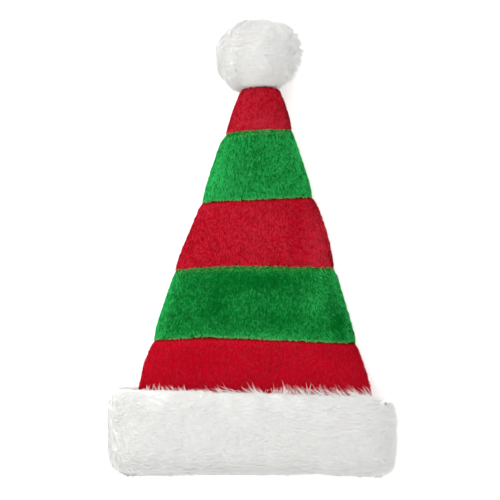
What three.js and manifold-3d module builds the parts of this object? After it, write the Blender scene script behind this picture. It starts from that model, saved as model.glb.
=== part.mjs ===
// Striped plush elf hat with a turned-up fur cuff and a fur pompom, lying flat on its back.
// Millimetres. X runs across the hat, Y from the mouth to the pompom, Z up from the floor.
import * as THREE from 'three';
import Module from 'manifold-3d';
import { mergeVertices } from 'three/addons/utils/BufferGeometryUtils.js';

const wasm = await Module();
wasm.setup();

// Crown sizes
const CROWN_LENGTH = 388;
const MOUTH_HALF_WIDTH = 131.5;
const LYING_HEIGHT = 41;
const WALL = 3;
const SEAM_GAP = 0.3;
const SEAM_PINCH = 1.3;
const SEAM_ROLL = 2.2;
const STRIPE_PUFF = 1.2;
const FRONT_SQUARENESS = 2.3;
const BACK_FOLD_SPREAD = 1.8;
const TIP_ROUNDING = 9;
const SECTION_SEGMENTS = 42;

// Cuff sizes
const CUFF_DEPTH = 83.5;
const CUFF_THICKNESS = 11;
const CUFF_TOP_SLANT = 7;
const CUFF_GAP = 0.35;
const RIM_GAP = 1.3;
const MOUTH_LIP_SHARE = 0.06;

// Pompom sizes
const POMPOM_RADIUS = 43.2;
const POMPOM_LENGTH_SHARE = 0.84;
const POMPOM_HEIGHT_SHARE = 0.77;
const POMPOM_PAST_TIP = 28.5;
const POMPOM_CENTRE_ALONG = CROWN_LENGTH + POMPOM_PAST_TIP;
const POMPOM_CENTRE_ACROSS = 7;
const POMPOM_NOTCH_GAP = 0.4;

// Fur lock sizes
const LOCK_SIDES = 4;
const POMPOM_LOCKS = 52;
const POMPOM_LOCK_WIDTH = 17;
const CUFF_LOCK_WIDTH = 27;
const CUFF_LOCK_RELIEF = 2.0;
const LOCK_FLATNESS = 0.24;
const SMALLEST_DETAIL = 0.5;

// Crown sections from the rim to the tip: along is a share of the crown length, left and
// right are shares of half the mouth's width, floor, side and top of the lying height.
const SECTIONS = [
  { along: 0.000, left: -0.981, right: 1.019, floor: 0.317, side: 0.659, top: 1.000 },
  { along: 0.116, left: -0.920, right: 0.973, floor: 0.317, side: 0.659, top: 1.000 },
  { along: 0.238, left: -0.836, right: 0.908, floor: 0.317, side: 0.645, top: 1.000 },
  { along: 0.271, left: -0.821, right: 0.882, floor: 0.235, side: 0.530, top: 1.000 },
  { along: 0.312, left: -0.783, right: 0.844, floor: 0.105, side: 0.420, top: 0.988 },
  { along: 0.358, left: -0.734, right: 0.802, floor: 0.024, side: 0.341, top: 0.976 },
  { along: 0.394, left: -0.711, right: 0.768, floor: 0.000, side: 0.305, top: 0.951 },
  { along: 0.477, left: -0.616, right: 0.700, floor: 0.000, side: 0.293, top: 0.890 },
  { along: 0.539, left: -0.570, right: 0.646, floor: 0.000, side: 0.293, top: 0.854 },
  { along: 0.601, left: -0.494, right: 0.608, floor: 0.000, side: 0.293, top: 0.829 },
  { along: 0.683, left: -0.395, right: 0.532, floor: 0.000, side: 0.317, top: 0.829 },
  { along: 0.714, left: -0.365, right: 0.490, floor: 0.012, side: 0.341, top: 0.837 },
  { along: 0.765, left: -0.312, right: 0.441, floor: 0.085, side: 0.427, top: 0.878 },
  { along: 0.847, left: -0.236, right: 0.357, floor: 0.268, side: 0.610, top: 1.000 },
  { along: 0.887, left: -0.179, right: 0.327, floor: 0.415, side: 0.756, top: 1.098 },
  { along: 0.927, left: -0.137, right: 0.289, floor: 0.561, side: 0.902, top: 1.220 },
  { along: 0.968, left: -0.091, right: 0.243, floor: 0.707, side: 1.049, top: 1.317 },
  { along: 1.000, left: -0.046, right: 0.205, floor: 0.780, side: 1.110, top: 1.366 },
];

// Seams between stripes, as shares of the crown length at five places across the hat
const SEAMS = [
  { leftEnd: 0.3520, leftMid: 0.3600, middle: 0.3570, rightMid: 0.3510, rightEnd: 0.3430 },
  { leftEnd: 0.5290, leftMid: 0.5375, middle: 0.5395, rightMid: 0.5370, rightEnd: 0.5335 },
  { leftEnd: 0.7050, leftMid: 0.7100, middle: 0.7125, rightMid: 0.7160, rightEnd: 0.7190 },
  { leftEnd: 0.8750, leftMid: 0.8845, middle: 0.8860, rightMid: 0.8875, rightEnd: 0.8880 },
];

// Mouth edge of the crown from the rim, for the front and back walls, and how far the cuff's
// corners are drawn in along the hat, as shares of the cuff's depth
const MOUTH_EDGE = { frontLeft: 0.125, frontRight: 0.057, back: 0.017 };
const CORNER_TUCK = { bottomLeft: 0.08, bottomRight: 0.034, topLeft: 0.023, topRight: 0.09 };
const CORNER_TUCK_SHARPNESS = 9;

// Shallow lengthwise dents of the front wall: across runs from -1 at the left to 1
const DENTS = [
  { across: -0.50, spread: 0.10, start: 0.25, end: 0.84, depth: 1.7 },
  { across: 0.52, spread: 0.12, start: 0.50, end: 0.70, depth: 1.3 },
  { across: 0.78, spread: 0.10, start: 0.36, end: 0.46, depth: 1.2 },
  { across: 0.05, spread: 0.14, start: 0.73, end: 0.86, depth: 1.1 },
];

// Rows of a stripe's wall between its two seams: outer from the first seam, inner back
const STRIPE_ROWS = { outer: [0, 0.04, 0.18, 0.5, 0.82, 0.96, 1], inner: [1, 0.5, 0] };
const RIM_ROWS = {
  outer: [0, 0.05, 0.3, 0.6, 0.69, 0.78, 0.88, 0.96, 1],
  inner: [1, 0.84, 0.67, 0],
};

// Cuff profile: outward is a share of its thickness, up a share of its depth
const CUFF_PROFILE = [
  { outward: 0.00, up: 0.93 },
  { outward: 0.00, up: 0.55 },
  { outward: 0.00, up: 0.20 },
  { outward: 0.00, up: MOUTH_LIP_SHARE },
  { outward: -0.26, up: MOUTH_LIP_SHARE },
  { outward: -0.24, up: -0.005 },
  { outward: -0.04, up: -0.042 },
  { outward: 0.28, up: -0.060 },
  { outward: 0.56, up: -0.042 },
  { outward: 0.76, up: 0.015 },
  { outward: 0.90, up: 0.11 },
  { outward: 0.98, up: 0.26 },
  { outward: 1.00, up: 0.50 },
  { outward: 0.96, up: 0.72 },
  { outward: 0.84, up: 0.88 },
  { outward: 0.60, up: 0.965 },
  { outward: 0.30, up: 0.98 },
];

// Cuff thickness round the hat as shares of the side's thickness
const CUFF_THICKNESS_SHARE = { front: 1.38, back: 1.2 };

// Rows of fur locks up the cuff: root and length are shares of its depth, round runs from the
// right side over the front to the left
const CUFF_LOCK_ROWS = [
  { root: -0.02, length: 0.36, count: 15, lean: 0.30 },
  { root: 0.24, length: 0.36, count: 15, lean: -0.26 },
  { root: 0.48, length: 0.36, count: 15, lean: 0.22 },
  { root: 0.72, length: 0.34, count: 21, lean: -0.12 },
];
const CUFF_LOCK_SWEEP = { from: -0.09, to: 0.59 };

// Swelling of a lock from root to point: along, width and raise are shares of the lock's own
const LOCK_STOPS = [
  { along: 0.34, width: 1.00, raise: 0.80 },
  { along: 0.72, width: 0.62, raise: 1.00 },
];

// Colours
const RED = 0xb0182a;
const GREEN = 0x1a8040;
const WHITE = 0xe8e7e4;

const clamp = (value, low, high) => Math.min(high, Math.max(low, value));
const mix = (a, b, share) => a + (b - a) * share;

// Repeatable scatter between 0 and 1 for a whole number
function scatter(index, channel) {
  const wave = Math.sin(index * 12.9898 + channel * 78.233) * 43758.5453;
  return wave - Math.floor(wave);
}

// Smooth value of one column of a table at a place along it, without overshoot
function smoothColumn(rows, column, place) {
  const last = rows.length - 1;
  const at = clamp(place, rows[0].along, rows[last].along);
  let low = 0;
  while (low < last - 1 && rows[low + 1].along < at) {
    low += 1;
  }
  const slope = (index) => {
    const from = rows[clamp(index, 0, last - 1)];
    const to = rows[clamp(index, 0, last - 1) + 1];
    return (to[column] - from[column]) / (to.along - from.along);
  };
  const tangent = (index) => {
    const before = slope(index - 1);
    const after = slope(index);
    return before * after <= 0 ? 0 : (2 * before * after) / (before + after);
  };
  const span = rows[low + 1].along - rows[low].along;
  const t = (at - rows[low].along) / span;
  const square = t * t;
  const cube = square * t;
  return (
    (2 * cube - 3 * square + 1) * rows[low][column] +
    (cube - 2 * square + t) * span * tangent(low) +
    (3 * square - 2 * cube) * rows[low + 1][column] +
    (cube - square) * span * tangent(low + 1)
  );
}

// Place of a seam along the crown for a place across it
function seamAlong(seam, across) {
  const stops = [seam.leftEnd, seam.leftMid, seam.middle, seam.rightMid, seam.rightEnd];
  const rows = stops.map((value, index) => ({ along: index / 2 - 1, value }));
  return smoothColumn(rows, 'value', across) * CROWN_LENGTH;
}

// Amount that a corner of the cuff is drawn in at a place across the hat
function cornerTuck(across, left, right) {
  return (across < 0 ? left : right) * Math.abs(across) ** CORNER_TUCK_SHARPNESS * CUFF_DEPTH;
}

// Place of the mouth's edge along the crown, for a place across it and a share of its height
function mouthAlong(across, height) {
  const front = mix(MOUTH_EDGE.frontLeft, MOUTH_EDGE.frontRight, (across + 1) / 2);
  const share = clamp((height + 1) / 2, 0, 1);
  const edge = mix(MOUTH_EDGE.back, front, share * share * (3 - 2 * share));
  return edge * CUFF_DEPTH + cornerTuck(across, CORNER_TUCK.bottomLeft, CORNER_TUCK.bottomRight);
}

// Place along the crown of a share of the cuff's depth
function cuffAlong(across, height, share) {
  const tuck = cornerTuck(across, CORNER_TUCK.topLeft, CORNER_TUCK.topRight);
  return mix(mouthAlong(across, height), CUFF_DEPTH - CUFF_TOP_SLANT * across - tuck, share);
}

// Unit section: across and height shares, from the right side over the front and back round
function unitSection(turn, halfWidth, backDrop) {
  if (turn <= 0.5) {
    const angle = turn * 2 * Math.PI;
    const power = 2 / FRONT_SQUARENESS;
    return {
      across: Math.sign(Math.cos(angle)) * Math.abs(Math.cos(angle)) ** power,
      height: Math.sin(angle) ** power,
    };
  }
  const fold = Math.min(BACK_FOLD_SPREAD * backDrop, 0.5 * halfWidth) / halfWidth;
  const fromSide = 1 - Math.abs((turn - 0.75) * 4);
  const side = turn < 0.75 ? -1 : 1;
  if (fromSide < 0.5) {
    const angle = fromSide * Math.PI;
    return {
      across: side * (1 - fold + fold * Math.cos(angle)),
      height: -Math.sin(angle),
    };
  }
  return { across: side * (1 - fold) * (2 - 2 * fromSide), height: -1 };
}

// Depth of the dents at a place across and along the front wall
function dentDepth(across, along) {
  let depth = 0;
  for (const dent of DENTS) {
    const inside = clamp((along / CROWN_LENGTH - dent.start) / (dent.end - dent.start), 0, 1);
    const offset = (across - dent.across) / dent.spread;
    depth += dent.depth * Math.sin(inside * Math.PI) ** 0.5 * Math.exp(-offset * offset);
  }
  return depth;
}

// Shares across and up of a turn round the hat, the same at every section
function turnShares(turn) {
  const middle = sectionAt(CROWN_LENGTH / 2);
  return unitSection(turn, middle.half, middle.backDrop);
}

// Point of the crown at a turn round the section, pushed inward by an inset
function crownPoint(alongAt, turn, inset) {
  const shares = turnShares(turn);
  const along = alongAt(shares.across, shares.height);
  const section = sectionAt(along);
  const fine = unitSection(turn, section.half, section.backDrop);
  const half = section.half - inset;
  const rise = fine.height >= 0 ? section.top - section.side : section.side - section.floor;
  const dent = fine.height > 0 ? dentDepth(fine.across, along) * fine.height : 0;
  const height = section.side + fine.height * (rise - inset) - dent;
  return new THREE.Vector3(section.centre + fine.across * half, along, Math.max(0, height));
}

// Sizes of the crown's section at a place along it
function sectionAt(along) {
  const share = along / CROWN_LENGTH;
  const left = smoothColumn(SECTIONS, 'left', share) * MOUTH_HALF_WIDTH;
  const right = smoothColumn(SECTIONS, 'right', share) * MOUTH_HALF_WIDTH;
  const floor = smoothColumn(SECTIONS, 'floor', share) * LYING_HEIGHT;
  const side = smoothColumn(SECTIONS, 'side', share) * LYING_HEIGHT;
  const top = smoothColumn(SECTIONS, 'top', share) * LYING_HEIGHT;
  return {
    centre: (left + right) / 2,
    half: (right - left) / 2,
    floor,
    side,
    top,
    backDrop: side - floor,
  };
}

// Closed skin over rows of points; a row of one point is a pole
function skin(rows, looped) {
  const positions = [];
  const starts = [];
  for (const row of rows) {
    starts.push(positions.length / 3);
    for (const point of row) {
      positions.push(point.x, point.y, point.z);
    }
  }
  const faces = [];
  const last = looped ? rows.length : rows.length - 1;
  for (let index = 0; index < last; index += 1) {
    const next = (index + 1) % rows.length;
    const count = Math.max(rows[index].length, rows[next].length);
    const here = (step) => starts[index] + (rows[index].length > 1 ? step % count : 0);
    const there = (step) => starts[next] + (rows[next].length > 1 ? step % count : 0);
    for (let step = 0; step < count; step += 1) {
      if (rows[index].length > 1) {
        faces.push(here(step), here(step + 1), there(step));
      }
      if (rows[next].length > 1) {
        faces.push(here(step + 1), there(step + 1), there(step));
      }
    }
  }
  const geometry = new THREE.BufferGeometry();
  geometry.setAttribute('position', new THREE.Float32BufferAttribute(positions, 3));
  geometry.setIndex(faces);
  return turnedOut(geometry);
}

// Turns the faces of a closed shape outward
function turnedOut(geometry) {
  const index = geometry.getIndex();
  const position = geometry.getAttribute('position');
  const corner = [new THREE.Vector3(), new THREE.Vector3(), new THREE.Vector3()];
  let volume = 0;
  for (let face = 0; face < index.count; face += 3) {
    for (let step = 0; step < 3; step += 1) {
      corner[step].fromBufferAttribute(position, index.getX(face + step));
    }
    volume += corner[0].dot(corner[1].cross(corner[2]));
  }
  if (volume < 0) {
    for (let face = 0; face < index.count; face += 3) {
      const kept = index.getX(face);
      index.setX(face, index.getX(face + 1));
      index.setX(face + 1, kept);
    }
  }
  return geometry;
}

// Inset of a stripe's outer face at a share of the way between its seams
function stripeInset(share, span) {
  const fromSeam = Math.min(share, 1 - share) * span;
  return SEAM_PINCH * Math.exp(-fromSeam / SEAM_ROLL) - STRIPE_PUFF * Math.sin(share * Math.PI) ** 0.6;
}

function turns(count) {
  return Array.from({ length: count }, (unused, index) => index / count);
}

// Hollow ring of plush between a lower and an upper edge line
function stripeRing(lowerEdge, upperEdge, rows) {
  const span = upperEdge(0, 0) - lowerEdge(0, 0);
  const row = (share, inset) => {
    const alongAt = (across, height) => mix(lowerEdge(across, height), upperEdge(across, height), share);
    return turns(SECTION_SEGMENTS).map((turn) => crownPoint(alongAt, turn, inset));
  };
  const outer = rows.outer.map((share) => row(share, stripeInset(share, span)));
  const inner = rows.inner.map((share) => row(share, WALL));
  return skin([...outer, ...inner], true);
}

// Section of the closed tip, drawn in toward its middle as it nears the end
function tipRow(lowerEdge, share, inset, end) {
  const alongAt = (across) => mix(lowerEdge(across), end, share);
  const middle = sectionAt(alongAt(0));
  const centre = new THREE.Vector3(middle.centre, alongAt(0), (middle.floor + middle.top) / 2);
  const nearEnd = clamp((alongAt(0) - (end - TIP_ROUNDING)) / TIP_ROUNDING, 0, 1);
  const scale = (1 - nearEnd ** 3) ** 0.5;
  return turns(SECTION_SEGMENTS).map((turn) => {
    const point = crownPoint(alongAt, turn, inset);
    point.x = mix(centre.x, point.x, scale);
    point.z = mix(centre.z, point.z, scale);
    return point;
  });
}

function tipPole(end) {
  const section = sectionAt(end);
  return [new THREE.Vector3(section.centre, end, (section.floor + section.top) / 2)];
}

// Rows of the tip's outer face: a grown copy is used to clear the pompom
const TIP_ROWS = [0, 0.05, 0.4, 0.79, 0.88, 0.95, 0.988];
const TIP_INNER_ROWS = [0.96, 0.8, 0];

function tipOuterRows(lowerEdge, grow) {
  const span = CROWN_LENGTH - lowerEdge(0);
  const inset = (share) => {
    const pinch = SEAM_PINCH * Math.exp((-share * span) / SEAM_ROLL);
    return pinch - STRIPE_PUFF * Math.sin(share * Math.PI) ** 0.6 - grow;
  };
  const end = CROWN_LENGTH + grow;
  const rows = TIP_ROWS.map((share) => tipRow(lowerEdge, share, inset(share), end));
  return [...rows, tipPole(end)];
}

function stripeTip(lowerEdge) {
  const end = CROWN_LENGTH - WALL;
  const inner = TIP_INNER_ROWS.map((share) => tipRow(lowerEdge, share, WALL, end));
  return skin([...tipOuterRows(lowerEdge, 0).reverse(), ...inner.reverse(), tipPole(end)], false);
}

function toSolid(geometry) {
  const plain = geometry.clone();
  for (const name of Object.keys(plain.attributes)) {
    if (name !== 'position') {
      plain.deleteAttribute(name);
    }
  }
  const merged = mergeVertices(plain, 1e-4);
  const vertProperties = new Float32Array(merged.getAttribute('position').array);
  const triVerts = new Uint32Array(merged.getIndex().array);
  return new wasm.Manifold(new wasm.Mesh({ numProp: 3, vertProperties, triVerts }));
}

function toGeometry(solid) {
  const mesh = solid.getMesh();
  const geometry = new THREE.BufferGeometry();
  const positions = new Float32Array((mesh.vertProperties.length / mesh.numProp) * 3);
  for (let index = 0; index < positions.length / 3; index += 1) {
    for (let axis = 0; axis < 3; axis += 1) {
      positions[index * 3 + axis] = mesh.vertProperties[index * mesh.numProp + axis];
    }
  }
  geometry.setAttribute('position', new THREE.BufferAttribute(positions, 3));
  geometry.setIndex(new THREE.BufferAttribute(new Uint32Array(mesh.triVerts), 1));
  return geometry;
}

// Keeps the main body where a cut leaves crumbs of fur loose
function mainBody(solid) {
  const bodies = solid.decompose();
  return bodies.reduce((best, body) => (body.volume() > best.volume() ? body : best));
}

// Flat tapered lock of fur from a buried root over swollen stops to a point
function lock(root, stops, point, lift) {
  const ends = [root, ...stops.map((stop) => stop.centre), point];
  const rings = stops.map((stop, index) => {
    const run = new THREE.Vector3().subVectors(ends[index + 2], ends[index]).normalize();
    const sideways = new THREE.Vector3().crossVectors(run, lift).normalize();
    const raise = new THREE.Vector3().crossVectors(sideways, run).normalize();
    return turns(LOCK_SIDES).map((turn) => {
      const angle = turn * 2 * Math.PI + Math.PI / 2;
      return stop.centre.clone()
        .addScaledVector(sideways, (Math.cos(angle) * stop.width) / 2)
        .addScaledVector(raise, (Math.sin(angle) * stop.height) / 2);
    });
  });
  return toSolid(skin([[root], ...rings, [point]], false));
}

// Path of the cuff round the mouth with its outward direction
function cuffFrame(turn) {
  const at = (place) => crownPoint(() => 0, (place + 1) % 1, -CUFF_GAP - STRIPE_PUFF);
  const point = at(turn);
  const ahead = at(turn + 0.004);
  const behind = at(turn - 0.004);
  const outward = new THREE.Vector3(ahead.z - behind.z, 0, behind.x - ahead.x).normalize();
  return { point, outward };
}

// Point of the cuff at a turn, outward and up shares of its thickness and depth
function cuffPoint(turn, outwardShare, upShare) {
  const frame = cuffFrame(turn);
  const shares = turnShares(turn);
  const facing = frame.outward.z;
  const backShare = mix(1, CUFF_THICKNESS_SHARE.back, clamp(-facing, 0, 1));
  const frontShare = mix(1, CUFF_THICKNESS_SHARE.front, clamp(facing, 0, 1));
  const thickness = CUFF_THICKNESS * backShare * frontShare;
  const along = cuffAlong(shares.across, shares.height, upShare);
  const lifted = frame.point.clone().addScaledVector(frame.outward, outwardShare * thickness);
  return new THREE.Vector3(lifted.x, along, lifted.z);
}

// Band of the cuff: inner face, lip under the crown's rim, bottom roll, outer face and top
function cuffRing() {
  const rows = CUFF_PROFILE.map((stop) =>
    turns(SECTION_SEGMENTS).map((turn) => cuffPoint(turn, stop.outward, stop.up)));
  return toSolid(skin(rows, true));
}

// Turn of the section at a share of the way round the cuff's outside
function cuffTurns(samples) {
  const places = Array.from({ length: samples + 1 }, (unused, index) =>
    mix(CUFF_LOCK_SWEEP.from, CUFF_LOCK_SWEEP.to, index / samples));
  const points = places.map((turn) => cuffPoint((turn + 1) % 1, 1, 0.5));
  const lengths = [0];
  for (let index = 1; index <= samples; index += 1) {
    lengths.push(lengths[index - 1] + points[index].distanceTo(points[index - 1]));
  }
  return (share) => {
    const target = clamp(share, 0, 1) * lengths[samples];
    let index = 1;
    while (index < samples && lengths[index] < target) {
      index += 1;
    }
    const part = (target - lengths[index - 1]) / (lengths[index] - lengths[index - 1]);
    return (mix(places[index - 1], places[index], part) + 1) % 1;
  };
}

// Length round the front of the cuff that its locks cover
const FRONT_REACH = MOUTH_HALF_WIDTH * 2.9;

function cuffLocks() {
  const turnAt = cuffTurns(96);
  const locks = [];
  let number = 0;
  CUFF_LOCK_ROWS.forEach((row, level) => {
    for (let place = 0; place < row.count; place += 1) {
      number += 1;
      const round = (place + 0.25 + 0.5 * (level % 2) + 0.3 * (scatter(number, 1) - 0.5)) / row.count;
      const fromSide = clamp(Math.min(round, 1 - round) / 0.17, 0, 1);
      const fringe = row.root > 0.6 ? mix(0.72, 1, fromSide) : 1;
      const length = row.length * (0.85 + 0.35 * scatter(number, 2)) * fringe;
      const lean = ((row.lean + 0.9 * (scatter(number, 3) - 0.5)) * length * CUFF_DEPTH) / FRONT_REACH;
      const width = CUFF_LOCK_WIDTH * (0.85 + 0.3 * scatter(number, 4));
      const relief = (CUFF_LOCK_RELIEF * (0.8 + 0.4 * scatter(number, 5))) / CUFF_THICKNESS;
      const surface = (up) => mix(1, 0.62, clamp((up - 0.84) / 0.26, 0, 1) ** 2);
      const at = (share, raise) => {
        const up = row.root + length * share;
        return cuffPoint(turnAt(round + lean * share), surface(up) * (1 + raise), up);
      };
      const stops = LOCK_STOPS.map((stop) => ({
        centre: at(stop.along, relief * stop.raise - (width * LOCK_FLATNESS) / 2 / CUFF_THICKNESS),
        width: width * stop.width,
        height: width * LOCK_FLATNESS,
      }));
      const lift = cuffFrame(turnAt(round)).outward;
      locks.push(lock(at(0, -0.25), stops, at(1, relief * 0.7), lift));
    }
  });
  return locks;
}

// Floor under the hat: everything below it is pressed away
function aboveFloor(solid) {
  return solid.trimByPlane([0, 0, 1], 0);
}

function cuffSolid() {
  const furry = wasm.Manifold.union([cuffRing(), ...cuffLocks()]);
  return mainBody(mainBody(aboveFloor(furry)).simplify(SMALLEST_DETAIL));
}

// Outline of the pompom: squarer than a ball, longer tufts at its right side
function pompomReach(direction) {
  const square = 2.25;
  const sum = Math.abs(direction.x) ** square + Math.abs(direction.y) ** square +
    Math.abs(direction.z) ** square;
  return sum ** (-1 / square);
}

function pompomPoint(direction, share) {
  const reach = pompomReach(direction) * share * POMPOM_RADIUS;
  return new THREE.Vector3(
    POMPOM_CENTRE_ACROSS + direction.x * reach,
    POMPOM_CENTRE_ALONG + direction.y * reach * POMPOM_LENGTH_SHARE,
    POMPOM_RADIUS * POMPOM_HEIGHT_SHARE + direction.z * reach * POMPOM_HEIGHT_SHARE,
  );
}

function pompomSolid(tipClearance) {
  const head = new THREE.IcosahedronGeometry(1, 3);
  const position = head.getAttribute('position');
  for (let index = 0; index < position.count; index += 1) {
    const direction = new THREE.Vector3().fromBufferAttribute(position, index).normalize();
    const point = pompomPoint(direction, 0.9);
    position.setXYZ(index, point.x, point.y, point.z);
  }
  const locks = [];
  const golden = Math.PI * (3 - Math.sqrt(5));
  for (let number = 0; number < POMPOM_LOCKS; number += 1) {
    const level = 1 - (2 * (number + 0.5)) / POMPOM_LOCKS;
    const ring = Math.sqrt(1 - level * level);
    const direction = new THREE.Vector3(ring * Math.cos(golden * number), level,
      ring * Math.sin(golden * number));
    const loose = clamp(0.5 + 0.8 * direction.x, 0, 1);
    const comb = new THREE.Vector3(
      0.5 * (scatter(number, 5) - 0.5),
      0.5 * (scatter(number, 6) - 0.5) - 0.2,
      0.5 * (scatter(number, 7) - 0.5) - 0.2,
    );
    const swept = direction.clone().addScaledVector(comb, mix(1.1, 0.6, loose)).normalize();
    const toward = (share) => direction.clone().lerp(swept, share).normalize();
    const reach = mix(0.975, 1.04, loose) + 0.03 * scatter(number, 8);
    const width = POMPOM_LOCK_WIDTH * (0.9 + 0.3 * scatter(number, 9));
    const stops = [
      { centre: pompomPoint(toward(0.25), 0.80), width, height: width },
      { centre: pompomPoint(toward(0.65), 0.93), width: width * 0.62, height: width * 0.5 },
    ];
    locks.push(lock(pompomPoint(direction, 0.6), stops, pompomPoint(swept, reach),
      new THREE.Vector3(-direction.y, direction.x, 0.3)));
  }
  const furry = wasm.Manifold.union([toSolid(head), ...locks]);
  const notched = mainBody(aboveFloor(furry).subtract(tipClearance));
  return mainBody(notched.simplify(SMALLEST_DETAIL));
}

function plush(name, geometry, colour, roughness) {
  const flat = geometry.index ? geometry.toNonIndexed() : geometry;
  flat.computeVertexNormals();
  const material = new THREE.MeshStandardMaterial({ color: colour, roughness, metalness: 0 });
  const mesh = new THREE.Mesh(flat, material);
  mesh.name = name;
  return mesh;
}

const halfGap = SEAM_GAP / 2;
const seamLine = (index, offset) => (across) => seamAlong(SEAMS[index], across) + offset;
const rimEdge = (across, height) => cuffAlong(across, height, MOUTH_LIP_SHARE) + RIM_GAP;
const tipEdge = seamLine(3, halfGap);
const lowerBody = stripeRing(seamLine(0, halfGap), seamLine(1, -halfGap), STRIPE_ROWS);
const middleBody = stripeRing(seamLine(1, halfGap), seamLine(2, -halfGap), STRIPE_ROWS);
const upperBody = stripeRing(seamLine(2, halfGap), seamLine(3, -halfGap), STRIPE_ROWS);
const tipClearance = toSolid(skin(
  [[tipPole(POMPOM_CENTRE_ALONG - POMPOM_RADIUS * 2)[0]], ...tipOuterRows(tipEdge, POMPOM_NOTCH_GAP)],
  false,
));

const hat = new THREE.Group();
hat.name = 'elf_hat';
hat.add(
  plush('stripe_red_rim', stripeRing(rimEdge, seamLine(0, -halfGap), RIM_ROWS), RED, 0.9),
  plush('stripe_green_lower', lowerBody, GREEN, 0.9),
  plush('stripe_red_middle', middleBody, RED, 0.9),
  plush('stripe_green_upper', upperBody, GREEN, 0.9),
  plush('stripe_red_tip', stripeTip(tipEdge), RED, 0.9),
  plush('cuff', toGeometry(cuffSolid()), WHITE, 0.95),
  plush('pompom', toGeometry(pompomSolid(tipClearance)), WHITE, 0.95),
);

// Place the hat with its box's bottom centre at the origin
const box = new THREE.Box3().setFromObject(hat);
const shift = new THREE.Vector3(
  -(box.min.x + box.max.x) / 2,
  -(box.min.y + box.max.y) / 2,
  -box.min.z,
);
for (const piece of hat.children) {
  piece.geometry.translate(shift.x, shift.y, shift.z);
}

export default hat;
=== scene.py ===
"""Striped plush elf hat with a fur cuff and pompom, lying flat on its back.

Each CAD node is dressed by a soft backing and a coat of pile or fur, grown strand by strand
from the backing, with the same outline as the solid that it stands for.
"""

import bmesh
import bpy
import numpy as np
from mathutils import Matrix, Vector
from mathutils.bvhtree import BVHTree
from mathutils.kdtree import KDTree


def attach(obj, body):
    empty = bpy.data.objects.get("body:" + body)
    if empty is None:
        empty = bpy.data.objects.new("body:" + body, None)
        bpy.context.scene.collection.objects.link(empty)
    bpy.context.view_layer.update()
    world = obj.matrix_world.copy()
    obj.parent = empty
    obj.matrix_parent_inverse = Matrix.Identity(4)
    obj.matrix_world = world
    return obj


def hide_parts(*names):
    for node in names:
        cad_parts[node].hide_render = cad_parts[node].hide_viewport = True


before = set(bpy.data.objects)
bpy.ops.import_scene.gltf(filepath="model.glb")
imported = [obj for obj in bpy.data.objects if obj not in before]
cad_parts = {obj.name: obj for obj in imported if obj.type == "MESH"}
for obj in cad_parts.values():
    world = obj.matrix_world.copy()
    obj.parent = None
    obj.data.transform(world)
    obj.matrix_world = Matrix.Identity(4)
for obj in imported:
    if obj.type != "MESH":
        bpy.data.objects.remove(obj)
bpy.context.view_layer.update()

# Sizes in metres
MM = 0.001
PHOTO_FRAME = 0.500
PHOTO_CENTRE = (-0.0029, 0.0)
PHOTO_PLANE = 0.015
LENS_MM = 150.0
SENSOR_MM = 36.0
CAMERA_SIGHT = 20.0
FLOOR_SIDE = 3.0
FLOOR_DROP = 0.3 * MM

# Studio: the soft light's place and size in metres and its watts, and the strength of the air
KEY_PLACE = (-1.8, 1.0, 1.4)
KEY_SIZE = 1.4
KEY_POWER = 62.0
AIR_STRENGTH = 1.75

# Colours as linear red, green, blue; each root colour is darker than its pile as painted shade deep in
# the pile, and the red's seam colour is painted shade in the grooves beside the seams, the green's an
# olive tint there
RED = {"root": (0.27, 0.0009, 0.0065), "pile": (0.40, 0.0034, 0.0155), "tip": (0.68, 0.045, 0.075),
       "seam": (0.055, 0.0035, 0.0035), "sheen": (1.0, 0.10, 0.18)}
GREEN = {"root": (0.0008, 0.085, 0.010), "pile": (0.0012, 0.138, 0.018), "tip": (0.045, 0.600, 0.145),
         "seam": (0.22, 0.34, 0.09), "sheen": (0.04, 0.9, 0.22)}
FUR = {"root": (0.65, 0.65, 0.641), "pile": (0.69, 0.687, 0.674), "tip": (0.72, 0.718, 0.708),
       "seam": (0.65, 0.65, 0.65), "sheen": (1.0, 1.0, 1.0)}
FLOOR_WHITE = (0.95, 0.95, 0.935)

# How a coat's colour varies, with sizes in metres, and the share of light that it lets through
RED_LOOK = {"Patch Size": 34 * MM, "Patch Depth": 0.3, "Tuft Size": 5 * MM, "Tuft Depth": 0.3,
            "Tone Depth": 0.6, "Seam Depth": 0.8, "Sheen": 0.3, "Through": 0.2}
GREEN_LOOK = {"Patch Size": 30 * MM, "Patch Depth": 0.7, "Tuft Size": 5 * MM, "Tuft Depth": 0.4,
              "Tone Depth": 0.7, "Seam Depth": 0.6, "Sheen": 0.8, "Through": 0.2}
FUR_LOOK = {"Patch Size": 30 * MM, "Patch Depth": 0.05, "Tuft Size": 6 * MM, "Tuft Depth": 0.05,
            "Tone Depth": 0.15, "Seam Depth": 0.0, "Sheen": 0.1, "Through": 0.4}
CLOTH_LOOK = {"Patch Size": 20 * MM, "Patch Depth": 0.2, "Tuft Size": 4 * MM, "Tuft Depth": 0.2,
              "Tone Depth": 0.0, "Seam Depth": 0.0, "Sheen": 0.0, "Through": 0.0}
# The red cloth is darkened with painted shade in the groove beside a seam
GROOVE_SHADE_LOOK = {**CLOTH_LOOK, "Seam Depth": 1.0}

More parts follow.
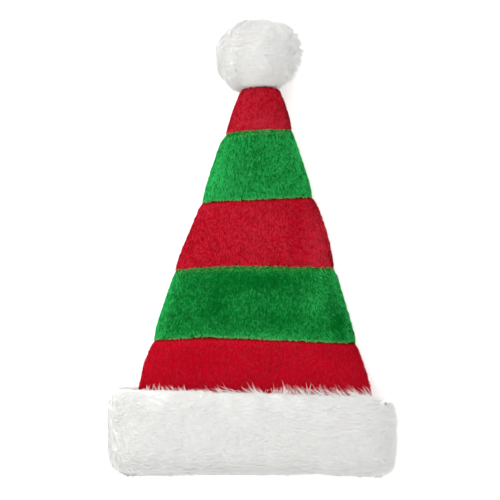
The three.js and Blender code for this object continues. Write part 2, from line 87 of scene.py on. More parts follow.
# Stripes from the rim to the tip: node, record slot, plush, strands of pile, how light and how
# rough its nap lies, and random seed
STRIPES = [
    {"node": "stripe_red_rim", "slot": "red_plush", "plush": "red",
     "strands": 40000, "tone": 0.22, "rough": 0.4, "seed": 11},
    {"node": "stripe_green_lower", "slot": "green_plush", "plush": "green",
     "strands": 44000, "tone": 0.27, "rough": 1.3, "seed": 12},
    {"node": "stripe_red_middle", "slot": "red_plush", "plush": "red",
     "strands": 36000, "tone": 0.38, "rough": 1.5, "seed": 13},
    {"node": "stripe_green_upper", "slot": "green_plush", "plush": "green",
     "strands": 26000, "tone": 0.60, "rough": 1.4, "seed": 14},
    {"node": "stripe_red_tip", "slot": "red_plush", "plush": "red",
     "strands": 14000, "tone": 0.62, "rough": 1.6, "seed": 15},
]
PILE_LENGTH = 4.4 * MM
PILE_WIDTH = 0.48 * MM
PILE_ROOM = 1.2 * MM
SEAM_REACH = 4.5 * MM
SEAM_BARE = 1.9 * MM
SEAM_CLOSING = 0.25 * MM
END_TURN = 0.9
STRIPE_SOFTENING = 12
PILE_TUFTS = 0.10
# How far in from the green's side edges its pile is lighter, as a painted highlight
PAINTED_RIM_LIGHT_WIDTH = 13 * MM

# How deep a strand's root lies in its backing, and how much its shading is raised at the edges
ROOT_DEPTH = 0.0004
SHADING_RAISE = 0.6

# How far the fur falls down over the edges of the cuff and pompom, against its flow along them
EDGE_FALL = 0.45

# Voxels, rounds of smoothing and shares of tuft middles belong to the backings and the fur
CUFF_VOXEL = 2.6 * MM
CUFF_SOFTENING = {"first": 110, "last": 15}
CUFF_FUR_TUFTS = 0.02
CUFF_FUR_STRANDS = 60000
CUFF_FUR_LENGTH = 10.0 * MM
CUFF_FUR_ROOM = 1.4 * MM
CUFF_MIDDLE_HEIGHT = 27 * MM
CUFF_HALF_WIDTH = 146 * MM
CUFF_TOP = {"left": -137 * MM, "right": -146 * MM}
CUFF_CORNER = {"left": 13 * MM, "right": 15 * MM}
CUFF_RIGHT_SHARE = 0.98
CUFF_EDGE_REACH = 12 * MM
CUFF_FOOT_DROP = 3.5 * MM

POMPOM_VOXEL = 2.2 * MM
POMPOM_SOFTENING = 300
POMPOM_FUR_TUFTS = 0.009
POMPOM_FUR_STRANDS = 60000
POMPOM_FUR_LENGTH = 10.0 * MM
POMPOM_FUR_ROOM = 1.5 * MM
POMPOM_TUCK = {"left": 3 * MM, "right": 8 * MM}

# Tufts of the cuff's fur over the red rim, left to right: place, reach over the rim and lean
FRINGE = [
    {"x": -98 * MM, "reach": 7 * MM, "lean": -0.2, "strands": 45},
    {"x": -66 * MM, "reach": 8 * MM, "lean": -0.6, "strands": 50},
    {"x": -40 * MM, "reach": 10 * MM, "lean": -0.9, "strands": 75},
    {"x": -14 * MM, "reach": 12 * MM, "lean": -1.0, "strands": 62},
    {"x": 6 * MM, "reach": 12 * MM, "lean": -1.0, "strands": 62},
    {"x": 32 * MM, "reach": 11 * MM, "lean": 0.1, "strands": 80},
    {"x": 58 * MM, "reach": 13 * MM, "lean": -0.7, "strands": 110},
    {"x": 84 * MM, "reach": 13 * MM, "lean": -0.9, "strands": 95},
    {"x": 108 * MM, "reach": 14 * MM, "lean": -0.9, "strands": 110},
]

# Lighter and darker patches where the plush is brushed another way, painted light and shade of the nap:
# place, size and tone
NAP_SHADING_PATCHES = [
    {"x": 2 * MM, "y": -29 * MM, "wide": 42 * MM, "high": 8 * MM, "tone": -0.45},
    {"x": -35 * MM, "y": -52 * MM, "wide": 12 * MM, "high": 22 * MM, "tone": -0.35},
    {"x": 20 * MM, "y": -66 * MM, "wide": 24 * MM, "high": 8 * MM, "tone": -0.25},
    {"x": 86 * MM, "y": -72 * MM, "wide": 7 * MM, "high": 14 * MM, "tone": -0.6},
    {"x": 60 * MM, "y": -52 * MM, "wide": 9 * MM, "high": 13 * MM, "tone": 0.45},
    {"x": -5 * MM, "y": -85 * MM, "wide": 85 * MM, "high": 6 * MM, "tone": 0.45},
    {"x": 44 * MM, "y": 20 * MM, "wide": 8 * MM, "high": 22 * MM, "tone": -0.45},
    {"x": 8 * MM, "y": 22 * MM, "wide": 26 * MM, "high": 22 * MM, "tone": 0.2},
    {"x": 66 * MM, "y": 10 * MM, "wide": 14 * MM, "high": 34 * MM, "tone": 0.8},
    {"x": -53 * MM, "y": -110 * MM, "wide": 20 * MM, "high": 13 * MM, "tone": -0.20},
    {"x": 17 * MM, "y": 151 * MM, "wide": 10 * MM, "high": 11 * MM, "tone": -0.35},
    {"x": 2 * MM, "y": 127 * MM, "wide": 26 * MM, "high": 5 * MM, "tone": 0.40},
    {"x": -36 * MM, "y": 75 * MM, "wide": 12 * MM, "high": 26 * MM, "tone": 0.45},
    {"x": 5 * MM, "y": 92 * MM, "wide": 14 * MM, "high": 20 * MM, "tone": -0.25},
]


# Camera, light and floor

def place_camera():
    data = bpy.data.cameras.new("photo_camera")
    data.lens = LENS_MM
    data.sensor_width = SENSOR_MM
    data.sensor_fit = "HORIZONTAL"
    data.clip_end = CAMERA_SIGHT
    camera = bpy.data.objects.new("photo_camera", data)
    distance = PHOTO_FRAME * LENS_MM / SENSOR_MM
    camera.location = (PHOTO_CENTRE[0], PHOTO_CENTRE[1], PHOTO_PLANE + distance)
    bpy.context.scene.collection.objects.link(camera)
    bpy.context.scene.camera = camera


def soft_light(name, place, size, power):
    data = bpy.data.lights.new(name, "AREA")
    data.shape = "SQUARE"
    data.size = size
    data.energy = power
    light = bpy.data.objects.new(name, data)
    light.location = place
    light.rotation_euler = Vector(place).to_track_quat("Z", "Y").to_euler()
    bpy.context.scene.collection.objects.link(light)


def light_studio():
    soft_light("key_upper_left", KEY_PLACE, KEY_SIZE, KEY_POWER)
    world = bpy.data.worlds.new("studio_air")
    world.use_nodes = True
    world.node_tree.nodes["Background"].inputs["Color"].default_value = (1, 1, 1, 1)
    world.node_tree.nodes["Background"].inputs["Strength"].default_value = AIR_STRENGTH
    bpy.context.scene.world = world
    bpy.context.scene.view_settings.view_transform = "Standard"


def lay_floor():
    shape = bmesh.new()
    bmesh.ops.create_grid(shape, x_segments=1, y_segments=1, size=FLOOR_SIDE / 2)
    bmesh.ops.translate(shape, verts=shape.verts, vec=(0, 0, -FLOOR_DROP))
    floor = piece_from(shape, "studio_floor")
    material = bpy.data.materials.new("floor_paper")
    material.use_nodes = True
    surface = material.node_tree.nodes["Principled BSDF"]
    surface.inputs["Base Color"].default_value = (*FLOOR_WHITE, 1)
    surface.inputs["Roughness"].default_value = 0.9
    floor.data.materials.append(material)


def piece_from(shape, name):
    mesh = bpy.data.meshes.new(name)
    shape.to_mesh(mesh)
    shape.free()
    piece = bpy.data.objects.new(name, mesh)
    bpy.context.scene.collection.objects.link(piece)
    return piece


# Materials

def pile_shade_group():
    """Colour of a strand from root to point, darker towards the root as painted shade deep in the pile,
    with light and dark strands, patches of nap and a seam line: painted shade in the red's grooves,
    an olive tint on the green."""
    group = bpy.data.node_groups.new("pile_shade", "ShaderNodeTree")
    for name, kind in (
        ("Root Colour", "NodeSocketColor"),
        ("Pile Colour", "NodeSocketColor"),
        ("Tip Colour", "NodeSocketColor"),
        ("Seam Colour", "NodeSocketColor"),
        ("Patch Size", "NodeSocketFloat"),
        ("Patch Depth", "NodeSocketFloat"),
        ("Tuft Size", "NodeSocketFloat"),
        ("Tuft Depth", "NodeSocketFloat"),
        ("Tone Depth", "NodeSocketFloat"),
        ("Seam Depth", "NodeSocketFloat"),
    ):
        group.interface.new_socket(name, in_out="INPUT", socket_type=kind)
    group.interface.new_socket("Colour", in_out="OUTPUT", socket_type="NodeSocketColor")
    nodes, links = group.nodes, group.links
    enter = nodes.new("NodeGroupInput").outputs
    leave = nodes.new("NodeGroupOutput").inputs
    height = attribute_value(nodes, "pile_height")
    body = height
    for part in ("Patch", "Tuft"):
        loss = node_math(group, "MULTIPLY", mottle(group, enter[part + " Size"]), enter[part + " Depth"])
        body = node_math(group, "SUBTRACT", body, loss)
    # Darker towards the root: painted shade deep in the pile
    colour = node_mix(group, body, enter["Root Colour"], enter["Pile Colour"])
    tone = node_math(group, "MULTIPLY", attribute_value(nodes, "strand_tone"), enter["Tone Depth"])
    light = node_math(group, "MULTIPLY", tone, height)
    colour = node_mix(group, light, colour, enter["Tip Colour"])
    # Seam line: painted shade in the red's grooves, an olive tint on the green
    seam_shade_and_tint = node_math(group, "MULTIPLY", attribute_value(nodes, "seam_near"), enter["Seam Depth"])
    colour = node_mix(group, seam_shade_and_tint, colour, enter["Seam Colour"])
    links.new(colour, leave["Colour"])
    return group


def mottle(group, size):
    """Soft noise from 0 to 1 in the object's own space, with spots of that size in metres."""
    place = group.nodes.new("ShaderNodeTexCoord")
    noise = group.nodes.new("ShaderNodeTexNoise")
    noise.inputs["Detail"].default_value = 2.0
    scale = group.nodes.new("ShaderNodeMath")
    scale.operation = "DIVIDE"
    scale.inputs[0].default_value = 1.0
    group.links.new(size, scale.inputs[1])
    group.links.new(place.outputs["Object"], noise.inputs["Vector"])
    group.links.new(scale.outputs["Value"], noise.inputs["Scale"])
    spread = group.nodes.new("ShaderNodeMapRange")
    spread.inputs["From Min"].default_value = 0.35
    spread.inputs["From Max"].default_value = 0.65
    group.links.new(noise.outputs["Fac"], spread.inputs["Value"])
    return spread.outputs["Result"]


def attribute_value(nodes, name):
    node = nodes.new("ShaderNodeAttribute")
    node.attribute_name = name
    return node.outputs["Fac"]


def node_math(group, operation, first, second):
    node = group.nodes.new("ShaderNodeMath")
    node.operation = operation
    group.links.new(first, node.inputs[0])
    group.links.new(second, node.inputs[1])
    return node.outputs["Value"]


def node_mix(group, factor, first, second):
    node = group.nodes.new("ShaderNodeMix")
    node.data_type = "RGBA"
    group.links.new(factor, node.inputs["Factor"])
    group.links.new(first, node.inputs["A"])
    group.links.new(second, node.inputs["B"])
    return node.outputs["Result"]


def pile_material(name, group, colours, look):
    """Principled pile, with a share of the light let through its thin strands."""
    material = bpy.data.materials.new(name)
    material.use_nodes = True
    nodes, links = material.node_tree.nodes, material.node_tree.links
    surface = nodes["Principled BSDF"]
    shade = nodes.new("ShaderNodeGroup")
    shade.node_tree = group
    for part in ("root", "pile", "tip", "seam"):
        shade.inputs[part.capitalize() + " Colour"].default_value = (*colours[part], 1)
    for part in ("Patch Size", "Patch Depth", "Tuft Size", "Tuft Depth", "Tone Depth", "Seam Depth"):
        shade.inputs[part].default_value = look[part]
    links.new(shade.outputs["Colour"], surface.inputs["Base Color"])
    surface.inputs["Roughness"].default_value = 0.8
    surface.inputs["Specular IOR Level"].default_value = 0.0
    surface.inputs["Sheen Weight"].default_value = look["Sheen"]
    surface.inputs["Sheen Roughness"].default_value = 0.4
    surface.inputs["Sheen Tint"].default_value = (*colours["sheen"], 1)
    if look["Through"] > 0:
        through = nodes.new("ShaderNodeBsdfTranslucent")
        blend = nodes.new("ShaderNodeMixShader")
        blend.inputs["Fac"].default_value = look["Through"]
        links.new(shade.outputs["Colour"], through.inputs["Color"])
        links.new(surface.outputs["BSDF"], blend.inputs[1])
        links.new(through.outputs["BSDF"], blend.inputs[2])
        links.new(blend.outputs["Shader"], nodes["Material Output"].inputs["Surface"])
    return material


# Backings under the pile and fur

def merged_copy(node):
    shape = bmesh.new()
    shape.from_mesh(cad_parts[node].data)
    bmesh.ops.remove_doubles(shape, verts=shape.verts, dist=0.00001)
    return shape


def finish_modifiers(piece):
    """Applies a piece's modifiers to its mesh."""
    seen = piece.evaluated_get(bpy.context.evaluated_depsgraph_get())
    mesh = bpy.data.meshes.new_from_object(seen)
    piece.modifiers.clear()
    old = piece.data
    piece.data = mesh
    bpy.data.meshes.remove(old)
    mesh.name = piece.name


def stripe_backing(node, name):
    """Smooth cloth ring under the pile: the node's own shape in even quads."""
    shape = merged_copy(node)
    bmesh.ops.join_triangles(
        shape, faces=shape.faces, angle_face_threshold=3.1, angle_shape_threshold=3.1)
    crease = shape.edges.layers.float.new("crease_edge")
    for edge in shape.edges:
        if edge.calc_face_angle(0) > END_TURN:
            edge[crease] = 1.0
    piece = piece_from(shape, name)
    smooth = piece.modifiers.new("soft_rounding", "SUBSURF")
    smooth.levels = 2
    smooth.render_levels = 2
    finish_modifiers(piece)
    return piece


def fur_backing(node, name, voxel):
    """Soft body under the fur: the node's own shape in even faces."""
    piece = piece_from(merged_copy(node), name)
    even = piece.modifiers.new("even_faces", "REMESH")
    even.mode = "VOXEL"
    even.voxel_size = voxel
    finish_modifiers(piece)
    return piece


def soften(piece, rounds, members=None):
    """Evens out the dents of the CAD's coarse locks, of all points or only of some."""
    calm = piece.modifiers.new("softened_locks", "SMOOTH")
    calm.factor = 0.5
    calm.iterations = rounds
    if members is not None:
        group = piece.vertex_groups.new(name="softened")
        group.add(np.nonzero(members)[0].tolist(), 1.0, "REPLACE")
        calm.vertex_group = group.name
    finish_modifiers(piece)


def move_points(piece, points):
    piece.data.vertices.foreach_set("co", points.ravel())
    piece.data.update()


def fit_box(piece, low, high):
    """Scales a backing's points to a box."""
    points, _, _ = mesh_arrays(piece.data)
    share = (points - points.min(0)) / (points.max(0) - points.min(0))
    move_points(piece, low + share * (high - low))


def true_up_cuff(piece):
    """Draws the cuff's top edge to one slanted line with round corners, its right end in and
    the ends of its bottom edge down."""
    points, normals, _ = mesh_arrays(piece.data)
    across = points[:, 0] / CUFF_HALF_WIDTH
    slant = (CUFF_TOP["left"] * (1 - across) + CUFF_TOP["right"] * (1 + across)) / 2
    radius = np.where(across < 0, CUFF_CORNER["left"], CUFF_CORNER["right"])
    into = np.clip((np.abs(points[:, 0]) - CUFF_HALF_WIDTH + radius) / radius, 0, 1)
    edge = slant - radius * (1 - np.sqrt(1 - into ** 2))
    upward = np.clip(normals[:, 1] * 2 - 0.4, 0, 1) * (points[:, 1] > edge - CUFF_EDGE_REACH)
    points[:, 1] += (edge - points[:, 1]) * np.where(points[:, 1] > edge, 1, upward)
    drop = CUFF_FOOT_DROP * np.clip(np.abs(across) * 2.2 - 1, 0, 1)
    points[:, 1] -= drop * np.clip(-normals[:, 1] * 1.5, 0, 1)
    points[:, 0] *= np.where(across > 0, CUFF_RIGHT_SHARE, 1.0)
    move_points(piece, points)


def calm_normals(mesh, rounds):
    """A backing's normals, evened out over its neighbouring points."""
    _, normals, _ = mesh_arrays(mesh)
    edges = np.empty(len(mesh.edges) * 2, dtype=np.int32)
    mesh.edges.foreach_get("vertices", edges)
    first, second = edges[0::2], edges[1::2]
    for _ in range(rounds):
        total = normals.copy()
        for axis in range(3):
            total[:, axis] += np.bincount(first, normals[second, axis], len(normals))
            total[:, axis] += np.bincount(second, normals[first, axis], len(normals))
        normals = unit(total)
    return normals


def tuck_pompom(piece, centre, half):
    """Narrows the ball towards the hat's tip, most on its right."""
    points, _, _ = mesh_arrays(piece.data)
    radial = (points - centre) / half
    below = np.clip(0.3 - radial[:, 1], 0, 1)
    points[:, 0] += below * POMPOM_TUCK["left"] * np.clip(-radial[:, 0], 0, 1)
    points[:, 0] -= (0.5 + below) * POMPOM_TUCK["right"] * np.clip(radial[:, 0], 0, 1)
    move_points(piece, points)


def mesh_arrays(mesh):
    points = np.empty(len(mesh.vertices) * 3)
    mesh.vertices.foreach_get("co", points)
    normals = np.empty(len(mesh.vertices) * 3)
    mesh.vertices.foreach_get("normal", normals)
    mesh.calc_loop_triangles()
    corners = np.empty(len(mesh.loop_triangles) * 3, dtype=np.int32)
    mesh.loop_triangles.foreach_get("vertices", corners)
    return points.reshape(-1, 3), normals.reshape(-1, 3), corners.reshape(-1, 3)


def press_in(piece, depth, lengthen=0.0):
    """Moves a backing's points in along their normals, and its ends out by lengthen."""
    points, normals, _ = mesh_arrays(piece.data)
    points -= normals * depth[:, None] * [1, 0.3, 1]
    points[:, 1] += lengthen * np.where(np.abs(normals[:, 1]) > 0.5, np.sign(normals[:, 1]), 0)
    points[:, 2] = np.maximum(points[:, 2], 0.0)
    move_points(piece, points)
    piece.data.shade_smooth()


class Ruler:
    """Middle of a stripe's section at each place along it."""

    def __init__(self, points, step=4 * MM):
        self.step = step
        row = np.round(points[:, 1] / step).astype(int)
        self.low = row.min()
        self.centres = np.zeros((row.max() - self.low + 1, 2))
        self.halves = np.ones(len(self.centres))
        for index in range(len(self.centres)):
            near = points[np.abs(row - self.low - index) <= 1][:, [0, 2]]
            if len(near):
                self.centres[index] = (near.min(0) + near.max(0)) / 2
                self.halves[index] = (near[:, 0].max() - near[:, 0].min()) / 2

    def rows(self, points):
        row = np.round(points[:, 1] / self.step).astype(int) - self.low
        return np.clip(row, 0, len(self.centres) - 1)

    def rim(self, points, width):
        """Nearness to the stripe's side edges, from 0 at that width to 1."""
        row = self.rows(points)
        inset = self.halves[row] - np.abs(points[:, 0] - self.centres[row, 0])
        return np.clip(1 - inset / width, 0, 1)

    def outward(self, points, normals):
        """How far each normal turns away from the hollow, from -1 to 1."""
        away = points[:, [0, 2]] - self.centres[self.rows(points)]
        away /= np.linalg.norm(away, axis=1)[:, None] + 1e-9
        return (away * normals[:, [0, 2]]).sum(1)


def seam_gap(stripe, step, points):
    """Distance of each point from the neighbouring stripe, one step up or down the hat."""
    place = STRIPES.index(stripe) + step
    if not 0 <= place < len(STRIPES):
        return np.full(len(points), 1.0)
    shape = merged_copy(STRIPES[place]["node"])
    tree = BVHTree.FromBMesh(shape)
    shape.free()
    return np.array([tree.find_nearest(point)[3] for point in points])


def painted_nap_shading(points):
    """Painted light and shade of the nap's patches: how much lighter or darker they are than the rest."""
    tone = np.zeros(len(points))
    for patch in NAP_SHADING_PATCHES:
        offset = ((points[:, 0] - patch["x"]) / patch["wide"]) ** 2
        offset += ((points[:, 1] - patch["y"]) / patch["high"]) ** 2
        tone += patch["tone"] * np.exp(-offset)
    return tone


# Strands

def unit(vectors):
    return vectors / (np.linalg.norm(vectors, axis=1)[:, None] + 1e-12)


def ripple(points, scale, rng, waves=7):
    """Smooth random field over space, about -1 to 1, with features of that scale."""
    value = np.zeros(len(points))
    for _ in range(waves):
        direction = rng.normal(size=3)
        direction /= np.linalg.norm(direction)
        length = scale * rng.uniform(0.7, 1.5)
        value += np.sin(points @ direction * (2 * np.pi / length) + rng.uniform(0, 2 * np.pi))
    return value / np.sqrt(waves)


def scatter_roots(mesh, count, weigh, rng, calm=0):
    """Roots spread evenly over a backing's faces: places, normals and calmer normals."""
    points, normals, corners = mesh_arrays(mesh)
    facing = calm_normals(mesh, calm)
    a, b, c = points[corners[:, 0]], points[corners[:, 1]], points[corners[:, 2]]
    area = np.linalg.norm(np.cross(b - a, c - a), axis=1) / 2
    share = np.cumsum(area * weigh((a + b + c) / 3, unit(normals[corners].sum(1))))
    pick = (np.arange(count) + rng.random(count)) / count * share[-1]
    face = np.minimum(np.searchsorted(share, pick), len(corners) - 1)
    first, second = rng.random(count), rng.random(count)
    folded = first + second > 1
    first[folded], second[folded] = 1 - first[folded], 1 - second[folded]
    weights = np.stack([1 - first - second, first, second], 1)[:, :, None]
    roots = (points[corners[face]] * weights).sum(1)
    normals, facing = [unit((field[corners[face]] * weights).sum(1)) for field in (normals, facing)]
    return roots, normals, facing


def gather_tufts(roots, share, rng):
    """Groups strands round tuft middles: each strand's tuft, and the number of tufts."""
    count = max(8, int(len(roots) * share))
    middles = rng.choice(len(roots), count, replace=False)
    tree = KDTree(count)
    for index, root in enumerate(middles):
        tree.insert(roots[root], index)
    tree.balance()
    return np.array([tree.find(root)[1] for root in roots]), middles


def grow(name, roots, normals, comb, length, width, lift, droop, rng, pull=None, tone=None,
         seam=None, even=0.8, bend=0.2, twist=0.6, facing=None, floor=0.0002):
    """Joins tapered strands into one mesh. lift is a strand's angle from the backing at its root
    and droop how far it lies down by its point, in radians; pull moves its point sideways, and
    even is how much its shading follows the backing, raised a little at the hat's edges."""
    count = len(roots)
    comb = unit(comb - normals * (comb * normals).sum(1)[:, None])
    side = np.cross(comb, normals)
    turn = rng.normal(0, bend, count)
    spine = [roots - normals * ROOT_DEPTH]
    for stage, share in ((0, 0.55), (1, 0.45)):
        angle = np.clip(lift - droop * stage, -0.15, 1.5)
        heading = np.cos(angle)[:, None] * comb + np.sin(angle)[:, None] * normals
        heading = unit(heading + side * (turn * (stage + 0.3))[:, None])
        spine.append(spine[-1] + heading * (length * share)[:, None])
    if pull is not None:
        pull = pull - normals * (pull * normals).sum(1)[:, None]
        spine[1] = spine[1] + pull * 0.35
        spine[2] = spine[2] + pull
    roll = rng.uniform(-twist, twist, count)
    across = unit(side * np.cos(roll)[:, None] + normals * np.sin(roll)[:, None])
    half = across * (width / 2)[:, None]
    rows = [spine[0] - half * 0.8, spine[0] + half * 0.8, spine[1] - half, spine[1] + half, spine[2]]
    vertices = np.stack(rows, 1)
    vertices[:, :, 2] = np.maximum(vertices[:, :, 2], floor)
    mesh = bpy.data.meshes.new(name)
    mesh.vertices.add(count * 5)
    mesh.vertices.foreach_set("co", vertices.ravel())
    loops = (np.arange(count) * 5)[:, None] + [0, 1, 3, 2, 2, 3, 4]
    mesh.loops.add(count * 7)
    mesh.loops.foreach_set("vertex_index", loops.ravel().astype(np.int32))
    starts = (np.arange(count) * 7)[:, None] + [0, 4]
    mesh.polygons.add(count * 2)
    mesh.polygons.foreach_set("loop_start", starts.ravel().astype(np.int32))
    mesh.update(calc_edges=True)
    store(mesh, "pile_height", np.tile([0.0, 0.0, 0.6, 0.6, 1.0], count))
    store(mesh, "strand_tone", np.repeat(rng.random(count) if tone is None else tone, 5))
    store(mesh, "seam_near", np.zeros(count * 5) if seam is None else np.repeat(seam, 5))
    lay_out_strands(mesh, roots, count)
    mesh.shade_smooth()
    own = np.empty(count * 15)
    mesh.vertices.foreach_get("normal", own)
    own = own.reshape(-1, 3)
    facing = normals if facing is None else facing
    raised = facing + (1 - np.abs(facing[:, 2]))[:, None] * [0, 0, SHADING_RAISE]
    shared = np.repeat(unit(raised), 5, axis=0)
    own *= np.where((own * shared).sum(1) < 0, -1.0, 1.0)[:, None]
    mesh.normals_split_custom_set_from_vertices(unit(own * (1 - even) + shared * even))
    piece = bpy.data.objects.new(name, mesh)
    bpy.context.scene.collection.objects.link(piece)
    return piece


def store(mesh, name, values):
    mesh.attributes.new(name, "FLOAT", "POINT").data.foreach_set("value", values)


def lay_out_strands(mesh, roots, count):
    """Own map for the coat: a small cell for each strand, neighbours on the hat side by side."""
    columns = int(np.ceil(np.sqrt(count)))
    order = np.argsort(roots[:, 1], kind="stable")
    cell = np.empty(count, dtype=int)
    for row in range(int(np.ceil(count / columns))):
        members = order[row * columns:(row + 1) * columns]
        members = members[np.argsort(roots[members, 0], kind="stable")]
        cell[members] = row * columns + np.arange(len(members))
    corner = np.stack([cell % columns, cell // columns], 1)
    stops = np.array([[0.3, 0.15], [0.7, 0.15], [0.7, 0.5], [0.3, 0.5],
                      [0.3, 0.5], [0.7, 0.5], [0.5, 0.85]])
    layer = mesh.uv_layers.new(name="OFBake")
    layer.data.foreach_set("uv", ((corner[:, None, :] + stops[None]) / columns).ravel())


def dress(pieces, node):
    for piece in pieces:
        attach(piece, "root")
        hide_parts(node)


def thin(strands):
    return strands


def fur_width(count, rng):
    """Widths of the white fur's strands."""
    return (0.35 + 0.25 * rng.random(count)) * MM


def turned_down(normals):
    """Quarter turn of the fur's flow on the left flank, so that it runs along that edge."""
    flank = np.clip(1.15 - 1.5 * np.maximum(normals[:, 2], 0), 0, 1)
    return flank * np.clip(-3 * normals[:, 0], 0, 1) * np.pi / 2


def lean_of(angle, normals):
    """Direction along the backing: round the hat from left to right at 0, up the hat at 90."""
    right = normals[:, 0] > 0
    along, down = np.where(right, normals[:, 2], 1), np.where(right, -normals[:, 0], 0)
    around = unit(np.stack([along, np.zeros(len(along)), down], 1))
    return around * np.cos(angle)[:, None] + np.array([0, 1.0, 0]) * np.sin(angle)[:, None]


# Pieces of the hat

def plush_stripe(stripe, coat, backing_cloth):
    rng = np.random.default_rng(stripe["seed"])
    backing = stripe_backing(stripe["node"], stripe["node"] + "_cloth")
    points, normals, _ = mesh_arrays(backing.data)
    edge = np.minimum(seam_gap(stripe, -1, points), seam_gap(stripe, 1, points))
    soften(backing, STRIPE_SOFTENING, (edge > 3 * MM) & (np.abs(normals[:, 1]) < 0.6))
    points, normals, _ = mesh_arrays(backing.data)
    ruler = Ruler(points)
    # Nearness to the seams, where the red cloth is darkened with painted shade in the groove
    store(backing.data, "seam_near", np.clip(2 - edge / SEAM_BARE, 0, 1))
    room = PILE_ROOM * np.clip(ruler.outward(points, normals) * 2.5 + 0.6, 0, 1)
    press_in(backing, room, SEAM_CLOSING)
    backing.data.materials.append(backing_cloth)

    def weigh(middle, normal):
        shown = np.clip(ruler.outward(middle, normal) * 4 + 0.7, 0, 1)
        return shown * np.where(normal[:, 2] < -0.8, 0.5, 1.0)

    roots, normals, _ = scatter_roots(backing.data, thin(stripe["strands"]), weigh, rng)
    below, above = seam_gap(stripe, -1, roots), seam_gap(stripe, 1, roots)
    red = stripe["plush"] == "red"
    kept = np.minimum(below, above) > (SEAM_BARE if red else 0.0)
    roots, normals, below, above = roots[kept], normals[kept], below[kept], above[kept]
    count = len(roots)
    below, above = np.clip(1 - below / SEAM_REACH, 0, 1), np.clip(1 - above / SEAM_REACH, 0, 1)
    tuft, middles = gather_tufts(roots, PILE_TUFTS, rng)
    rough = stripe["rough"]
    swirl = ripple(roots, 42 * MM, rng) * 0.5 + ripple(roots, 12 * MM, rng) * 0.45
    comb = lean_of(-np.pi / 2 + swirl + rng.normal(0, 0.45, count), normals)
    shared = -np.pi / 2 + swirl[middles] + rng.normal(0, 0.4, len(middles))
    comb += 0.8 * lean_of(shared, normals[middles])[tuft]
    if red:
        comb[:, 1] += 3.0 * below - 1.0 * above
    else:
        comb[:, 1] += 2.4 * above * (0.5 + rng.random(count)) + 1.2 * below
    length = PILE_LENGTH * (0.8 + 0.4 * rng.random(count)) * (0.85 + 0.3 * rng.random(len(middles)))[tuft]
    length *= 1 - 0.5 * np.maximum(below, above)
    unrest = rough * np.clip(normals[:, 2] * 1.5, 0.25, 1)
    lift = 0.42 + unrest * (0.14 * ripple(roots, 6 * MM, rng) + rng.normal(0, 0.10, count))
    spread = 0.7 * rng.random(count) + 0.3 * rng.random(len(middles))[tuft] - 0.5
    # The strands' tone takes the painted light and shade of the nap's patches
    tone = stripe["tone"] + rough * spread + painted_nap_shading(roots)
    # Painted highlight: the green pile is lighter along its side edges; it is also lighter near the seams
    if not red:
        tone += 1.0 * ruler.rim(roots, PAINTED_RIM_LIGHT_WIDTH) + 0.6 * below + 0.2 * above
    # The strands' seam mark is painted shade in the red's grooves and an olive tint on the green
    pile = grow(stripe["node"] + "_pile", roots, normals, comb, length,
                PILE_WIDTH * (0.7 + 0.6 * rng.random(count)), lift, np.full(count, 0.35), rng,
                pull=(roots[middles][tuft] - roots) * 0.35, tone=np.clip(tone, 0, 1),
                seam=np.maximum(below, above) ** (4 if red else 2), twist=0.5, even=0.85)
    pile.data.materials.append(coat)
    dress([backing, pile], stripe["node"])


def fur_cuff(coat, backing_cloth):
    rng = np.random.default_rng(21)
    backing = fur_backing("cuff", "cuff_band", CUFF_VOXEL)
    soften(backing, CUFF_SOFTENING["first"])
    true_up_cuff(backing)
    soften(backing, CUFF_SOFTENING["last"])
    points, normals, _ = mesh_arrays(backing.data)
    low, high = points[:, 1].min(), points[:, 1].max()

    def outer(place, normal):
        """Where the band faces outward, from 0 on its inner face to 1."""
        away = np.stack([place[:, 0] * 0.5, (place[:, 2] - CUFF_MIDDLE_HEIGHT) * 4], 1)
        return np.clip((unit(away) * normal[:, [0, 2]]).sum(1) * 2 + 0.7, 0, 1)

    press_in(backing, CUFF_FUR_ROOM * (0.25 + 0.75 * outer(points, normals)))
    backing.data.materials.append(backing_cloth)

    def weigh(middle, normal):
        along = (middle[:, 1] - low) / (high - low)
        ends = (along < 0.08) | (along > 0.86)
        weight = np.where(ends, 1.0, outer(middle, normal))
        return weight * np.where(normal[:, 2] < -0.8, 0.35, 1.0)

    count = thin(CUFF_FUR_STRANDS)
    roots, normals, facing = scatter_roots(backing.data, count, weigh, rng, calm=70)
    along = (roots[:, 1] - low) / (high - low)
    tuft, middles = gather_tufts(roots, CUFF_FUR_TUFTS, rng)
    swirl = ripple(roots, 45 * MM, rng) * 0.22 + ripple(roots, 15 * MM, rng) * 0.15
    swirl += 0.05 - turned_down(facing)
    ends = np.clip((along - 0.80) / 0.20, 0, 1) + np.clip((0.12 - along) / 0.12, 0, 1)
    comb = lean_of(swirl + rng.normal(0, 0.2, count), facing)
    shared = swirl[middles] + rng.normal(0, 0.3, len(middles))
    comb += 0.6 * lean_of(shared, facing[middles])[tuft]
    comb[:, 2] -= EDGE_FALL * (1 - np.clip(facing[:, 2], 0, 1))
    length = CUFF_FUR_LENGTH * (0.75 + 0.5 * rng.random(count)) * (1 - 0.5 * ends)
    lift = 0.26 + 0.3 * np.clip(normals[:, 0] - 0.3, 0, 1) + rng.normal(0, 0.05, count)
    fur = grow("cuff_fur", roots, normals, comb, length, fur_width(count, rng),
               lift, np.full(count, 0.22), rng, pull=(roots[middles][tuft] - roots) * 0.12,
               tone=0.6 * rng.random(count) + 0.4 * rng.random(len(middles))[tuft], bend=0.15,
               twist=0.3, even=0.97, facing=facing)
    fur.data.materials.append(coat)
    fringe = cuff_fringe(backing, coat)
    dress([backing, fur, fringe], "cuff")


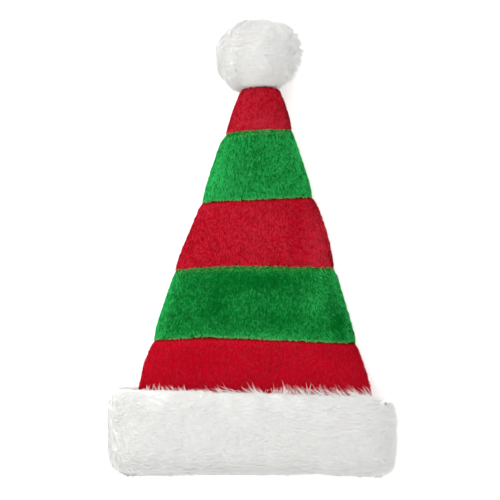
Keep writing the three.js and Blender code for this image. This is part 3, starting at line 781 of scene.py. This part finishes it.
def cuff_fringe(backing, coat):
    """Fine tufts that stand from the cuff's top edge over the red rim."""
    rng = np.random.default_rng(22)
    points, normals, _ = mesh_arrays(backing.data)
    edge = (normals[:, 1] > 0.25) & (points[:, 2] > CUFF_MIDDLE_HEIGHT)
    places, turns = points[edge], normals[edge]
    roots, facing, comb, length, lift = [], [], [], [], []
    for tuft in FRINGE:
        near = np.exp(-((places[:, 0] - tuft["x"]) / (14 * MM)) ** 2)
        pick = rng.choice(len(places), thin(tuft["strands"]), p=near / near.sum())
        roots.append(places[pick] + rng.normal(0, 0.8 * MM, (len(pick), 3)))
        facing.append(turns[pick])
        lean = np.pi / 2 - tuft["lean"] + rng.normal(0, 0.22, len(pick))
        comb.append(np.stack([np.cos(lean), np.sin(lean), np.zeros(len(pick))], 1))
        length.append(tuft["reach"] * (0.75 + 0.7 * rng.random(len(pick))))
        lift.append(0.35 + rng.normal(0, 0.15, len(pick)))
    roots, facing, comb = np.concatenate(roots), np.concatenate(facing), np.concatenate(comb)
    length, lift = np.concatenate(length), np.concatenate(lift)
    count = len(roots)
    fringe = grow("cuff_fringe", roots, facing, comb, length, (0.24 + 0.16 * rng.random(count)) * MM,
                  lift, np.full(count, 0.3), rng, bend=0.25, even=0.7)
    fringe.data.materials.append(coat)
    return fringe


def fur_pompom(coat, backing_cloth):
    rng = np.random.default_rng(31)
    backing = fur_backing("pompom", "pompom_ball", POMPOM_VOXEL)
    points, _, _ = mesh_arrays(backing.data)
    low, high = points.min(0), points.max(0)
    soften(backing, POMPOM_SOFTENING)
    fit_box(backing, low, high)
    centre, half = (low + high) / 2, (high - low) / 2
    tuck_pompom(backing, centre, half)
    points, _, _ = mesh_arrays(backing.data)
    press_in(backing, np.full(len(points), POMPOM_FUR_ROOM))
    backing.data.materials.append(backing_cloth)
    count = thin(POMPOM_FUR_STRANDS)
    roots, normals, facing = scatter_roots(
        backing.data, count, lambda middle, normal: np.ones(len(middle)), rng, calm=30)
    radial = (roots - centre) / half
    ruffled = np.clip(radial[:, 0] * 1.6 - 0.5, 0, 1)
    tuft, middles = gather_tufts(roots, POMPOM_FUR_TUFTS, rng)
    swirl = ripple(roots, 40 * MM, rng) * 0.25 + ripple(roots, 14 * MM, rng) * 0.12
    swirl += radial[:, 1] * (0.5 + 0.5 * radial[:, 0]) - turned_down(facing)
    comb = lean_of(swirl + rng.normal(0, 0.2, count), facing)
    shared = lean_of(swirl[middles] + rng.normal(0, 0.4, len(middles)), facing[middles])[tuft]
    comb += shared * (0.8 * ruffled)[:, None]
    comb[:, 2] -= EDGE_FALL * (1 - np.clip(facing[:, 2], 0, 1))
    length = POMPOM_FUR_LENGTH * (0.75 + 0.5 * rng.random(count))
    length *= 1 + ruffled * (rng.random(len(middles)) - 0.35)[tuft]
    lift = 0.26 + 0.9 * ruffled + rng.normal(0, 0.06, count)
    fur = grow("pompom_fur", roots, normals, comb, length, fur_width(count, rng),
               lift, np.full(count, 0.22), rng,
               pull=(roots[middles][tuft] - roots) * (0.02 + 1.1 * ruffled)[:, None],
               tone=0.4 * rng.random(count) + 0.6 * rng.random(len(middles))[tuft], bend=0.18,
               twist=0.3, even=0.95, facing=facing)
    fur.data.materials.append(coat)
    dress([backing, fur], "pompom")


place_camera()
light_studio()
lay_floor()

shade = pile_shade_group()
coats = {
    "red": pile_material("red_plush_pile", shade, RED, RED_LOOK),
    "green": pile_material("green_plush_pile", shade, GREEN, GREEN_LOOK),
    "white": pile_material("white_fur", shade, FUR, FUR_LOOK),
}
cloths = {
    "red": pile_material("red_plush_cloth", shade, RED, GROOVE_SHADE_LOOK),
    "green": pile_material("green_plush_cloth", shade, GREEN, CLOTH_LOOK),
    "white": pile_material("white_fur_cloth", shade, FUR, CLOTH_LOOK),
}

for stripe in STRIPES:
    plush_stripe(stripe, coats[stripe["plush"]], cloths[stripe["plush"]])
fur_cuff(coats["white"], cloths["white"])
fur_pompom(coats["white"], cloths["white"])
